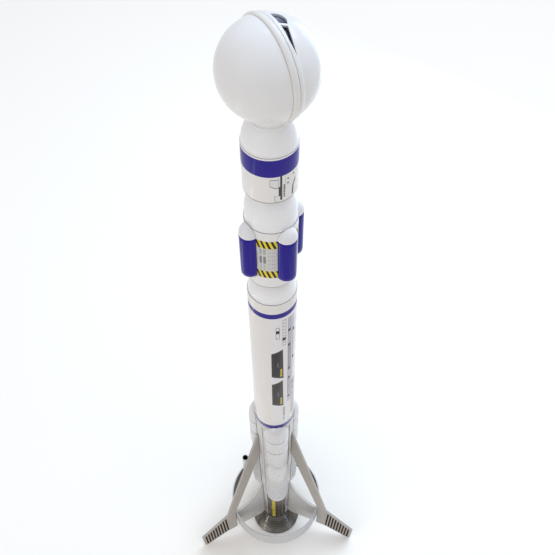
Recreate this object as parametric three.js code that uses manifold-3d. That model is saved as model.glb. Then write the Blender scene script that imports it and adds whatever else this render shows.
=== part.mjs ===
// Model rocket: a slide-together stack of tubes, domes and a ball nose on three landing legs.
// Millimetres, +Z up, z = 0 on the floor under the feet, the rocket's axis on x = y = 0.
// An azimuth is counted in degrees from -Y (the front) towards +X.

import * as THREE from 'three';
import { mergeVertices } from 'three/addons/utils/BufferGeometryUtils.js';
import Module from 'manifold-3d';

const wasm = await Module();
wasm.setup();

// ---------------------------------------------------------------- driving dimensions
const GAP = 0.3;                  // air between two pieces that touch
const ROUND = 36;                 // facets around a large turned piece
const SMALL_ROUND = 20;           // facets around a small turned piece

const TUBE_R = 20.8;              // main body tube, 41.6 mm outside
const TUBE_WALL = 0.6;
const TUBE_TOP = 548.7;
const TUBE_FOOT = 318.6;          // the tail cone carries on from here

const TAIL_R = 17.3;              // small end of the tail cone
const TAIL_FOOT = 30;
const TAIL_WALL = 0.7;

const CORE_R = 20.3;              // tube that carries the strap-on pods
const CORE_FOOT = 573.3;
const CORE_TOP = 638.2;
const PAYLOAD_R = 19.6;
const PAYLOAD_FOOT = 669.8;
const PAYLOAD_TOP = 711;
const CARD = 1.0;                 // wall of the two short upper tubes

const NECK_R = 12.4;              // necks between the stages
const DOME_RISE = 22.5;           // full height of a dome's quarter ellipse
const BALL_R = 32.3;
const BALL_Z = 765.2;
const BALL_WALL = 1.6;
const SEAM_AZIMUTH = 118;         // the ball's seam plane faces this way
const SEAM_HALF = 2.3;
const SEAM_R = 33.7;

const STRAP_POD_R = 7.8;
const STRAP_POD_AXIS = 19.6;      // its centre line's distance from the rocket's axis
const STRAP_POD_AZIMUTHS = [33, 118, 210, 303.5];
const STRAP_WRAP_FOOT = 586.5;    // the pod's straight middle, with a rounded end past each limit
const STRAP_WRAP_TOP = 630.5;

const LEG_AZIMUTHS = { left: -68, right: 68, rear: 180 };
const BOARD = 3.2;                // thickness of legs and fins
const FOOT_TIP = 107.8;
const RING_R = 58.2;
const RING_WALL = 1.6;
const RING_FOOT = 44;
const RING_TOP = 72;

const BASE_POD_AXIS = 16.3;
const BASE_POD_AZIMUTHS = { front: 3, right: 123, left: -117 };
const BASE_POD_WALL = 1.2;

const MOTOR_R = 12.5;             // motor tube for a 24 mm motor
const MOTOR_WALL = 0.45;
const MOTOR_FOOT = 22;
const MOTOR_TOP = 160;
const BELL_R = 31.8;
const BELL_FOOT = 1.5;

const HOOK_PIVOT = 103;
const LUG_R = 3.5;
const LUG_BORE = 3.0;
const LUG_AXIS = 36;               // how far out along the leg it sits
const LUG_FOOT = 157;
const LUG_LENGTH = 60;

// ---------------------------------------------------------------- finishes
const white = { color: 0xf2f2f0, roughness: 0.25, metalness: 0 };
const silver = { color: 0xd9dadd, roughness: 0.35, metalness: 0 };
const cream = { color: 0xe4dccb, roughness: 0.35, metalness: 0 };
const gunmetal = { color: 0x23262c, roughness: 0.2, metalness: 0.6 };
const dark = { color: 0x10131c, roughness: 0.15, metalness: 0 };
const kraft = { color: 0xa9825a, roughness: 0.8, metalness: 0 };
const plywood = { color: 0xc9a878, roughness: 0.7, metalness: 0 };
const steel = { color: 0xb8bcc2, roughness: 0.3, metalness: 1 };
const brass = { color: 0xc9a24a, roughness: 0.3, metalness: 1 };
const paper = { color: 0xe9e6dc, roughness: 0.8, metalness: 0 };
const nylon = { color: 0xd9541e, roughness: 0.6, metalness: 0 };

const rocket = new THREE.Group();
const radians = THREE.MathUtils.degToRad;

// ---------------------------------------------------------------- solids and booleans
function solidOf(geometry) {
  const bare = geometry.clone();
  bare.deleteAttribute('normal');
  bare.deleteAttribute('uv');
  const joined = mergeVertices(bare, 1e-4);
  const corners = joined.index.array;
  const faces = [];
  for (let i = 0; i < corners.length; i += 3) {
    const [a, b, c] = [corners[i], corners[i + 1], corners[i + 2]];
    if (a !== b && b !== c && c !== a) faces.push(a, b, c);
  }
  const place = joined.attributes.position.array;
  const solid = new wasm.Manifold(new wasm.Mesh({
    numProp: 3,
    vertProperties: new Float32Array(place),
    triVerts: new Uint32Array(faces),
  }));
  if (solid.volume() > 0) return solid;
  const flipped = [];
  for (let i = 0; i < faces.length; i += 3) flipped.push(faces[i], faces[i + 2], faces[i + 1]);
  return new wasm.Manifold(new wasm.Mesh({
    numProp: 3,
    vertProperties: new Float32Array(place),
    triVerts: new Uint32Array(flipped),
  }));
}

function addPiece(name, solid, finish) {
  const mesh = solid.getMesh();
  const geometry = new THREE.BufferGeometry();
  geometry.setAttribute('position', new THREE.BufferAttribute(new Float32Array(mesh.vertProperties), 3));
  geometry.setIndex(new THREE.BufferAttribute(new Uint32Array(mesh.triVerts), 1));
  const shown = geometry.toNonIndexed();
  shown.computeVertexNormals();
  const piece = new THREE.Mesh(shown, new THREE.MeshStandardMaterial(finish));
  piece.name = name;
  rocket.add(piece);
}

// Turns a profile of [radius, height] pairs about the Z axis.
function turned(profile, facets = ROUND) {
  const points = profile.map(([radius, height]) => new THREE.Vector2(radius, height));
  if (profile[0][0] > 0) points.push(points[0].clone());
  const geometry = new THREE.LatheGeometry(points, facets);
  geometry.rotateX(Math.PI / 2);
  return solidOf(geometry);
}

function tube(outer, inner, foot, top, facets = ROUND) {
  return turned([[inner, foot], [outer, foot], [outer, top], [inner, top]], facets);
}

function rod(radius, foot, top, facets = ROUND) {
  return turned([[0, foot], [radius, foot], [radius, top], [0, top]], facets);
}

function box(from, to) {
  const size = to.map((value, i) => value - from[i]);
  const geometry = new THREE.BoxGeometry(...size);
  geometry.translate(...from.map((value, i) => value + size[i] / 2));
  return solidOf(geometry);
}

// Outside radius of the tail cone at a height.
function tailRadius(height) {
  const share = (height - TAIL_FOOT) / (TUBE_FOOT - TAIL_FOOT);
  return TAIL_R + (TUBE_R - TAIL_R) * share;
}

function outward(azimuth) {
  return new THREE.Vector3(Math.sin(radians(azimuth)), -Math.cos(radians(azimuth)), 0);
}

// A flat board standing in the radial plane at an azimuth; its outline is in [radius, height].
function board(outline, azimuth, thickness) {
  const shape = outline instanceof THREE.Shape
    ? outline
    : new THREE.Shape(outline.map(([radius, height]) => new THREE.Vector2(radius, height)));
  const geometry = new THREE.ExtrudeGeometry(shape, {
    depth: thickness,
    bevelEnabled: false,
    curveSegments: 12,
  });
  geometry.translate(0, 0, -thickness / 2);
  const radial = outward(azimuth);
  const up = new THREE.Vector3(0, 0, 1);
  const across = new THREE.Vector3().crossVectors(radial, up);
  geometry.applyMatrix4(new THREE.Matrix4().makeBasis(radial, up, across));
  return solidOf(geometry);
}

// Points of a quarter ellipse that rises from [radius, foot] to where it is NECK_R wide.
function domeCurve(radius, foot, shrink = 0) {
  const steps = 6;
  const end = Math.acos(NECK_R / radius);
  const points = [];
  for (let i = 0; i <= steps; i += 1) {
    const turn = (end * i) / steps;
    points.push([(radius - shrink) * Math.cos(turn), foot + (DOME_RISE - shrink) * Math.sin(turn)]);
  }
  return points;
}

function domeTop(radius, foot) {
  return foot + DOME_RISE * Math.sin(Math.acos(NECK_R / radius));
}

// ---------------------------------------------------------------- ball nose
function seamTurn() {
  const axis = outward(SEAM_AZIMUTH);
  const front = new THREE.Vector3(0, 0, 1);
  const side = new THREE.Vector3().crossVectors(axis, front);
  return new THREE.Matrix4().makeBasis(front, side.negate(), axis).setPosition(0, 0, BALL_Z);
}

// Turns a profile of [radius, distance along the seam's axis] about that axis.
function turnedOnSeam(profile, facets) {
  const points = profile.map(([radius, along]) => new THREE.Vector2(radius, along));
  if (profile[0][0] > 0) points.push(points[0].clone());
  const geometry = new THREE.LatheGeometry(points, facets);
  geometry.rotateX(Math.PI / 2);
  geometry.applyMatrix4(seamTurn());
  return solidOf(geometry);
}

function arc(radius, fromAlong, steps = 9) {
  const start = Math.asin(fromAlong / radius);
  const points = [];
  for (let i = 0; i <= steps; i += 1) {
    const turn = start + ((Math.PI / 2 - start) * i) / steps;
    points.push([i === steps ? 0 : radius * Math.cos(turn), radius * Math.sin(turn)]);
  }
  return points;
}

function halfShell(side) {
  const from = SEAM_HALF + GAP;
  const profile = [...arc(BALL_R - BALL_WALL, from).reverse(), ...arc(BALL_R, from)];
  return turnedOnSeam(profile.map(([radius, along]) => [radius, along * side]), ROUND);
}

// An outline on the ball in [along the seam from its top, away from the seam] cut straight in.
function ballCutter(outline, foot, top) {
  const geometry = new THREE.ExtrudeGeometry(outline, {
    depth: top - foot,
    bevelEnabled: false,
    curveSegments: 10,
  });
  geometry.translate(0, 0, foot);
  const tilt = radians(17);
  const axis = outward(SEAM_AZIMUTH);
  const forward = outward(SEAM_AZIMUTH - 90);
  const radial = forward.clone().multiplyScalar(Math.sin(tilt)).setZ(Math.cos(tilt));
  const along = forward.clone().multiplyScalar(Math.cos(tilt)).setZ(-Math.sin(tilt));
  geometry.applyMatrix4(new THREE.Matrix4().makeBasis(along, axis, radial).setPosition(0, 0, BALL_Z));
  return solidOf(geometry);
}

function windowOutline() {
  const shape = new THREE.Shape();
  shape.moveTo(-15.4, 5.2);
  shape.lineTo(-5.4, 4.9);
  shape.lineTo(-3.6, 9.5);
  shape.quadraticCurveTo(-6.0, 11.6, -9.0, 11.6);
  shape.quadraticCurveTo(-14.6, 10.8, -15.4, 5.2);
  return shape;
}

function slotOutline() {
  const shape = new THREE.Shape();
  shape.moveTo(-3.8, 4.9);
  shape.lineTo(7.3, 4.3);
  shape.lineTo(15.8, 5.2);
  shape.lineTo(6.2, 6.9);
  shape.lineTo(-2.0, 8.9);
  return shape;
}

function backingOutline() {
  return new THREE.Shape([[-17.5, 3.0], [17.5, 3.0], [17.5, 7.2], [5, 10], [-4, 13.5], [-17.5, 13.5]]
    .map(([along, away]) => new THREE.Vector2(along, away)));
}

const neckHole = rod(NECK_R + GAP, BALL_Z - BALL_R - 10, BALL_Z - BALL_R + 14);
const neckTop = BALL_Z - BALL_R + 9;
const noseDomeTop = domeTop(PAYLOAD_R, PAYLOAD_TOP + GAP);

addPiece('ball_shell_left', halfShell(-1).subtract(neckHole), white);
addPiece('ball_shell_right', halfShell(1)
  .subtract(neckHole)
  .subtract(ballCutter(windowOutline(), 20, 40))
  .subtract(ballCutter(slotOutline(), 20, 40)), white);

const seamProfile = [
  [28.8, -SEAM_HALF], [SEAM_R - 1.4, -SEAM_HALF], [SEAM_R - 0.4, -SEAM_HALF * 0.7], [SEAM_R, 0],
  [SEAM_R - 0.4, SEAM_HALF * 0.7], [SEAM_R - 1.4, SEAM_HALF], [28.8, SEAM_HALF],
];
addPiece('seam_ring', turnedOnSeam(seamProfile, 48).subtract(neckHole), cream);

const backingShell = turnedOnSeam(
  [...arc(BALL_R - BALL_WALL - GAP - 1.1, 2.9, 6).reverse(), ...arc(BALL_R - BALL_WALL - GAP, 2.9, 6)],
  ROUND,
);
addPiece('window_backing', backingShell.intersect(ballCutter(backingOutline(), 10, 40)), dark);

addPiece('nose_neck', turned([
  [0, noseDomeTop - 6], [7.7, noseDomeTop - 6], [7.7, noseDomeTop + GAP],
  [NECK_R, noseDomeTop + GAP], [NECK_R, neckTop - 1], [NECK_R - 1, neckTop], [0, neckTop],
]), white);

// ---------------------------------------------------------------- nose dome and payload bay
const SHOULDER_WALL = 1.3;
const NOSE_SHOULDER_FOOT = 696;
const noseShoulderR = PAYLOAD_R - CARD - GAP;
addPiece('nose_dome', turned([
  [8, noseDomeTop - 2], [8, noseDomeTop],
  ...domeCurve(PAYLOAD_R, PAYLOAD_TOP + GAP).reverse(),
  [noseShoulderR, PAYLOAD_TOP + GAP], [noseShoulderR, NOSE_SHOULDER_FOOT],
  [noseShoulderR - SHOULDER_WALL, NOSE_SHOULDER_FOOT], [noseShoulderR - SHOULDER_WALL, PAYLOAD_TOP],
  [14, noseDomeTop - 8],
]), white);

addPiece('payload_tube', tube(PAYLOAD_R, PAYLOAD_R - CARD, PAYLOAD_FOOT, PAYLOAD_TOP), white);

const UPPER_LIP_R = 19.9;
const upperLipTop = CORE_TOP + 8.8;
const upperDomeTop = domeTop(UPPER_LIP_R, upperLipTop);
const PLUG_FOOT = PAYLOAD_FOOT + 1.2;
const PLUG_TOP = PAYLOAD_FOOT + 11;
addPiece('upper_adapter', turned([
  [NECK_R - 1.6, upperDomeTop - 4], [NECK_R - 1.6, PLUG_TOP], [noseShoulderR, PLUG_TOP],
  [noseShoulderR, PLUG_FOOT], [NECK_R, PLUG_FOOT],
  ...domeCurve(UPPER_LIP_R, upperLipTop).reverse(),
  [UPPER_LIP_R, CORE_TOP + GAP], [CORE_R - CARD - GAP, CORE_TOP + GAP],
  [CORE_R - CARD - GAP, CORE_TOP - 17], [CORE_R - CARD - GAP - SHOULDER_WALL, CORE_TOP - 17],
  [CORE_R - CARD - GAP - SHOULDER_WALL, upperLipTop],
]), white);

addPiece('payload_bulkhead', rod(noseShoulderR, PLUG_TOP + GAP, PLUG_TOP + GAP + 2), plywood);

// ---------------------------------------------------------------- strap-on pods and their core
addPiece('core_tube', tube(CORE_R, CORE_R - CARD, CORE_FOOT, CORE_TOP), white);

function halfCircleEnd(radius, height, from, direction, steps = 4) {
  const points = [];
  for (let i = 0; i <= steps; i += 1) {
    const turn = ((Math.PI / 2) * i) / steps;
    points.push([i === steps ? 0 : radius * Math.cos(turn), from + direction * height * Math.sin(turn)]);
  }
  return points;
}

// A hollow pod made of two turned forms about its own axis, cut to sit on a tube.
function podShell(outside, inside, axisRadius, azimuth, seat) {
  const at = outward(azimuth).multiplyScalar(axisRadius);
  const shell = turned(outside, SMALL_ROUND).subtract(turned(inside, SMALL_ROUND));
  return shell.translate([at.x, at.y, 0]).subtract(seat);
}

function strapPodForm(shrink) {
  const radius = STRAP_POD_R - shrink;
  return [
    ...halfCircleEnd(radius, 5.5 - shrink, STRAP_WRAP_FOOT, -1).reverse(),
    ...halfCircleEnd(radius, 9.5 - shrink, STRAP_WRAP_TOP, 1),
  ];
}

const strapSeat = rod(CORE_R + GAP, CORE_FOOT - 20, CORE_TOP + 30);
STRAP_POD_AZIMUTHS.forEach((azimuth, i) => {
  const pod = podShell(strapPodForm(0), strapPodForm(1), STRAP_POD_AXIS, azimuth, strapSeat);
  addPiece(`strap_pod_${i + 1}`, pod, white);
});

addPiece('core_ring', tube(CORE_R - CARD - GAP, NECK_R + GAP, CORE_FOOT + 0.5, CORE_FOOT + 3.5), plywood);

// ---------------------------------------------------------------- lower adapter that the stack lifts off on
const LIP_R = 20.6;
const lipTop = TUBE_TOP + GAP + 1.2;
const SHOULDER_R = TUBE_R - TUBE_WALL - GAP;
const SHOULDER_FOOT = TUBE_TOP - 34;
addPiece('lower_adapter', turned([
  [NECK_R - 1.6, lipTop + 9], [NECK_R - 1.6, CORE_FOOT + 14], [NECK_R, CORE_FOOT + 14],
  ...domeCurve(LIP_R, lipTop).reverse(),
  [LIP_R, TUBE_TOP + GAP], [SHOULDER_R, TUBE_TOP + GAP], [SHOULDER_R, SHOULDER_FOOT],
  [1.3, SHOULDER_FOOT], [1.3, SHOULDER_FOOT + 2], [SHOULDER_R - SHOULDER_WALL, SHOULDER_FOOT + 2],
  [SHOULDER_R - SHOULDER_WALL, lipTop],
]), white);

function wireRing(radius, wire, at) {
  const geometry = new THREE.TorusGeometry(radius, wire, 8, SMALL_ROUND);
  geometry.rotateX(Math.PI / 2);
  geometry.translate(...at);
  return solidOf(geometry);
}

const eyeZ = SHOULDER_FOOT - 6;
const eyeShank = rod(1.0, eyeZ + 3.2, SHOULDER_FOOT + 9, 12);
addPiece('screw_eye', wireRing(3.6, 0.8, [0, 0, eyeZ]).add(eyeShank), brass);

// ---------------------------------------------------------------- main tube and what it holds
addPiece('body_tube', tube(TUBE_R, TUBE_R - TUBE_WALL, TUBE_FOOT, TUBE_TOP), white);

function tubePatch(outer, inner, azimuth, halfAngle, foot, top) {
  const wedge = new THREE.Shape([[0, 0], [-1, 1], [1, 1]].map(([across, out]) => new THREE.Vector2(
    across * 40 * Math.tan(radians(halfAngle)),
    out * -40,
  )));
  const geometry = new THREE.ExtrudeGeometry(wedge, { depth: top - foot, bevelEnabled: false });
  geometry.translate(0, 0, foot);
  geometry.rotateZ(radians(azimuth));
  return tube(outer, inner, foot, top).intersect(solidOf(geometry));
}

addPiece('cord_mount', tubePatch(SHOULDER_R, SHOULDER_R - 1.6, 180, 20, 470, 494), paper);

addPiece('parachute_pack', turned([
  [0, 424], [10, 424], [14, 427], [15, 433], [15, 488], [13.5, 495], [9, 498], [0, 498],
], SMALL_ROUND), nylon);

const CENTRING_RINGS = { forward_centring_ring: 152, aft_centring_ring: 126 };
Object.entries(CENTRING_RINGS).forEach(([name, foot]) => {
  addPiece(name, tube(tailRadius(foot) - TAIL_WALL - GAP, MOTOR_R + GAP, foot, foot + 3), plywood);
});
addPiece('tail_plug_ring', tube(TAIL_R - TAIL_WALL - GAP, MOTOR_R + GAP, 33, 36)
  .subtract(box([MOTOR_R - 1, -2.4, 30], [MOTOR_R + 9, 2.4, 40])), plywood);

// ---------------------------------------------------------------- motor mount, hook and nozzle
addPiece('motor_tube', tube(MOTOR_R, MOTOR_R - MOTOR_WALL, MOTOR_FOOT, MOTOR_TOP), kraft);
addPiece('thrust_ring', tube(MOTOR_R - MOTOR_WALL - GAP, 8, 93, 99), kraft);

const hookFace = MOTOR_R + GAP;
const hookStrip = box([hookFace, -1.6, MOTOR_FOOT - 3], [hookFace + 0.7, 1.6, HOOK_PIVOT + 6]);
const hookToe = box([hookFace - 2.1, -1.6, MOTOR_FOOT - 3], [hookFace + 0.7, 1.6, MOTOR_FOOT - 2.3]);
const hookTab = box([hookFace, -1.6, MOTOR_FOOT - 7], [hookFace + 0.7, 1.6, MOTOR_FOOT - 2.3]);
addPiece('motor_hook', hookStrip.add(hookToe).add(hookTab), steel);
const bandBore = hookFace + 0.7 + GAP;
addPiece('hook_band', tube(bandBore + 0.8, bandBore, HOOK_PIVOT, HOOK_PIVOT + 6), paper);

const tailCollarR = SHOULDER_R - 0.8;
const tailCollarTop = TUBE_FOOT + 15;
addPiece('tail_cone', turned([
  [TAIL_R - TAIL_WALL, TAIL_FOOT], [TAIL_R, TAIL_FOOT], [TUBE_R, TUBE_FOOT - GAP],
  [SHOULDER_R, TUBE_FOOT - GAP], [SHOULDER_R, tailCollarTop], [tailCollarR, tailCollarTop],
  [tailCollarR, TUBE_FOOT - 4], [tailRadius(TUBE_FOOT - 9) - TAIL_WALL, TUBE_FOOT - 9],
]), silver);

// The bell's wall follows one curve from the throat to the mouth, a wall's thickness apart.
function bellCurve(offset) {
  const steps = 6;
  const throat = TAIL_R;
  const height = TAIL_FOOT - GAP - BELL_FOOT;
  const points = [];
  for (let i = 0; i <= steps; i += 1) {
    const down = i / steps;
    const flare = 0.62 * down + 0.38 * Math.sqrt(down);
    points.push([throat + (BELL_R - throat) * flare - offset, TAIL_FOOT - GAP - height * down]);
  }
  return points;
}
addPiece('nozzle_bell', turned([...bellCurve(0), ...bellCurve(0.8).reverse()]), gunmetal);

// ---------------------------------------------------------------- base pods
function upperBasePod(shrink) {
  return [
    [0, 224.5 + shrink], [9.8 - shrink, 224.5 + shrink], [11 - shrink, 226 + shrink],
    [12.2 - shrink, 231 + shrink], [13 - shrink, 239], [13.3 - shrink, 248], [13.3 - shrink, 268.5],
    [12.5 - shrink, 269.5], [12.5 - shrink, 271.5], [13.4 - shrink, 272.5], [13.4 - shrink, 296],
    [12.6 - shrink, 297], [12.6 - shrink, 299], [13.4 - shrink, 300], [12.8 - shrink, 308],
    [11.2 - shrink, 314 - shrink], [8.5 - shrink, 318.5 - shrink], [5 - shrink, 321 - shrink],
    [0, 322 - shrink],
  ];
}

function lowerBasePod(shrink) {
  return [
    [0, 112 + shrink], [4 - shrink, 112.2 + shrink], [7.5 - shrink, 113.3 + shrink],
    [10.6 - shrink, 116.5 + shrink], [12.6 - shrink, 122 + shrink], [13.3 - shrink, 130],
    [13.3 - shrink, 192], [13 - shrink, 203 - shrink], [11.8 - shrink, 212 - shrink],
    [9.5 - shrink, 218.5 - shrink], [6 - shrink, 221.5 - shrink], [0, 222 - shrink],
  ];
}

const baseSeat = turned([
  [0, TAIL_FOOT], [TAIL_R + GAP, TAIL_FOOT], [TUBE_R + GAP, TUBE_FOOT], [TUBE_R + GAP, TUBE_FOOT + 20],
  [0, TUBE_FOOT + 20],
]);
Object.entries(BASE_POD_AZIMUTHS).forEach(([side, azimuth]) => {
  [['upper', upperBasePod], ['lower', lowerBasePod]].forEach(([level, form]) => {
    const pod = podShell(form(0), form(BASE_POD_WALL), BASE_POD_AXIS, azimuth, baseSeat);
    addPiece(`base_pod_${level}_${side}`, pod, silver);
  });
});

// ---------------------------------------------------------------- legs, fins and the tail ring
const legOutline = [
  [tailRadius(281) + GAP, 281], [tailRadius(226) + GAP, 226], [57, 80], [RING_R + GAP, 73],
  [RING_R + GAP, 18], [71, 16.5], [FOOT_TIP - 5.5, 0], [FOOT_TIP, 0], [FOOT_TIP + 1.5, 29.5],
  [70.7, 69],
];

function finOutline() {
  const shape = new THREE.Shape();
  const outer = RING_R - RING_WALL - GAP;
  shape.moveTo(tailRadius(134) + GAP, 134);
  shape.lineTo(tailRadius(31) + GAP, 31);
  shape.lineTo(21.6, 25.5);
  shape.lineTo(outer, 20);
  shape.lineTo(outer, 71);
  shape.quadraticCurveTo(30, 85, tailRadius(134) + GAP, 134);
  return shape;
}

Object.entries(LEG_AZIMUTHS).forEach(([side, azimuth]) => {
  addPiece(`leg_${side}`, board(legOutline, azimuth, BOARD), silver);
  addPiece(`fin_${side}`, board(finOutline(), azimuth, BOARD), silver);
});

addPiece('tail_ring', tube(RING_R, RING_R - RING_WALL, RING_FOOT, RING_TOP, 60), silver);

// ---------------------------------------------------------------- launch lug on the left leg's far face
const lugRadial = outward(LEG_AZIMUTHS.left).multiplyScalar(LUG_AXIS);
const lugSide = outward(LEG_AZIMUTHS.left - 90).multiplyScalar(BOARD / 2 + GAP + LUG_R);
const lug = tube(LUG_R, LUG_BORE, LUG_FOOT, LUG_FOOT + LUG_LENGTH, SMALL_ROUND)
  .translate([lugRadial.x + lugSide.x, lugRadial.y + lugSide.y, 0]);
addPiece('launch_lug', lug, white);

export default rocket;
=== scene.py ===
import math

import bmesh
import bpy
from mathutils import Euler, Matrix, Vector


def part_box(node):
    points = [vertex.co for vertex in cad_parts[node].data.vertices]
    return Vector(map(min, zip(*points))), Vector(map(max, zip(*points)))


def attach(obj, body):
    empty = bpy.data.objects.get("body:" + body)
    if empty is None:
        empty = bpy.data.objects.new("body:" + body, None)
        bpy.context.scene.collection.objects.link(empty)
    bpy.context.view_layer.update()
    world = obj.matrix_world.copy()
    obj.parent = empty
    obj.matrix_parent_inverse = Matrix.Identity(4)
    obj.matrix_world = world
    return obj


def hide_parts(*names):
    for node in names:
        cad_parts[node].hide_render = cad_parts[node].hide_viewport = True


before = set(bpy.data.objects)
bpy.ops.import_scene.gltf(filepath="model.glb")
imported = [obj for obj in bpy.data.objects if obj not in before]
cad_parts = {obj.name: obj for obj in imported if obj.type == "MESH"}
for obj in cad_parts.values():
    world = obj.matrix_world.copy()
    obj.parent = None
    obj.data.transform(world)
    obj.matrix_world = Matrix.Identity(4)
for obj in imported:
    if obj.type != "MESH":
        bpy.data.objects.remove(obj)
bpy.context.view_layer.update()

MM = 0.001


def reach(node):
    """(outside radius, foot, top) of an upright round CAD node, in millimetres."""
    low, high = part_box(node)
    return max(high.x, high.y) / MM, low.z / MM, high.z / MM


TUBE_R, TUBE_FOOT, TUBE_TOP = reach("body_tube")
CORE_R, CORE_FOOT, CORE_TOP = reach("core_tube")
PAYLOAD_R, PAYLOAD_FOOT, PAYLOAD_TOP = reach("payload_tube")
RING_R, RING_FOOT, RING_TOP = reach("tail_ring")
BELL_R, BELL_FOOT, BELL_TOP = reach("nozzle_bell")
TAIL_FOOT = reach("tail_cone")[1]
NECK_TOP = reach("nose_neck")[2]
BALL_R = 32.3
BALL_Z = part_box("seam_ring")[1].z / MM - 33.7
BALL_WALL = 1.6
SEAM_HALF = 2.3
SEAM_AZIMUTH = 118
GAP = 0.3
NECK_R = 12.4
DOME_RISE = 22.5
TAIL_R = 17.3
CARD = 1.0
TUBE_WALL = 0.6
BOARD = 3.2
RING_WALL = 1.6
LUG_WALL = 0.5
STRAP_PODS = {1: 33, 2: 118, 3: 210, 4: 303.5}
STRAP_POD_R = 7.8
STRAP_POD_AXIS = 19.6
WRAP_FOOT, WRAP_TOP = 586.5, 630.5
LEGS = {"left": -68, "right": 68, "rear": 180}
BASE_PODS = {"front": 3, "right": 123, "left": -117}
BASE_POD_AXIS = 16.3
BASE_POD_R = 13.3
HATCH_PITCH = 56.7          # between the two printed hatches on each side of the main tube
PANEL_TOP = 113             # top of the dark striped panels on the tail
WINDOW_TILT = 17            # degrees from straight up to the middle of the window
NECK_WALL = 1.6
SHOULDER_WALL = 1.3
FOOT_HEEL = (71, 16.5)      # corners of a leg's foot, out from the axis and up
FOOT_TOE = (102.3, 0)
FOOT_BACK = (70.7, 69)
FOOT_TIP = (109.3, 29.5)
STRIP = 12                  # a board's faces are cut into strips this tall, to avoid slivers


# ------------------------------------------------------------------ camera
def add_camera():
    camera = bpy.data.cameras.new("camera")
    camera.sensor_width = 36
    camera.lens = 48.09
    camera.clip_start = 0.01
    holder = bpy.data.objects.new("camera", camera)
    bpy.context.scene.collection.objects.link(holder)
    holder.location = (-0.01046, -0.35490, 1.04233)
    holder.rotation_euler = Euler([math.radians(a) for a in (36.313, 0.2714, -2.7768)])
    bpy.context.scene.camera = holder


add_camera()


def outward(azimuth):
    turn = math.radians(azimuth)
    return Vector((math.sin(turn), -math.cos(turn), 0))


# ------------------------------------------------------------------ shader building
def feed(tree, socket, value):
    """Links another node's socket, or sets a number, a vector or a colour."""
    if isinstance(value, bpy.types.NodeSocket):
        tree.links.new(value, socket)
    else:
        socket.default_value = (*value, 1) if socket.type == "RGBA" else value


def add_node(tree, kind, feeds=None, **settings):
    """Adds a node, makes its settings and feeds its sockets, by name or number."""
    node = tree.nodes.new(kind)
    for setting, value in settings.items():
        setattr(node, setting, value)
    for socket, value in (feeds or {}).items():
        feed(tree, node.inputs[socket], value)
    return node


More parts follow.
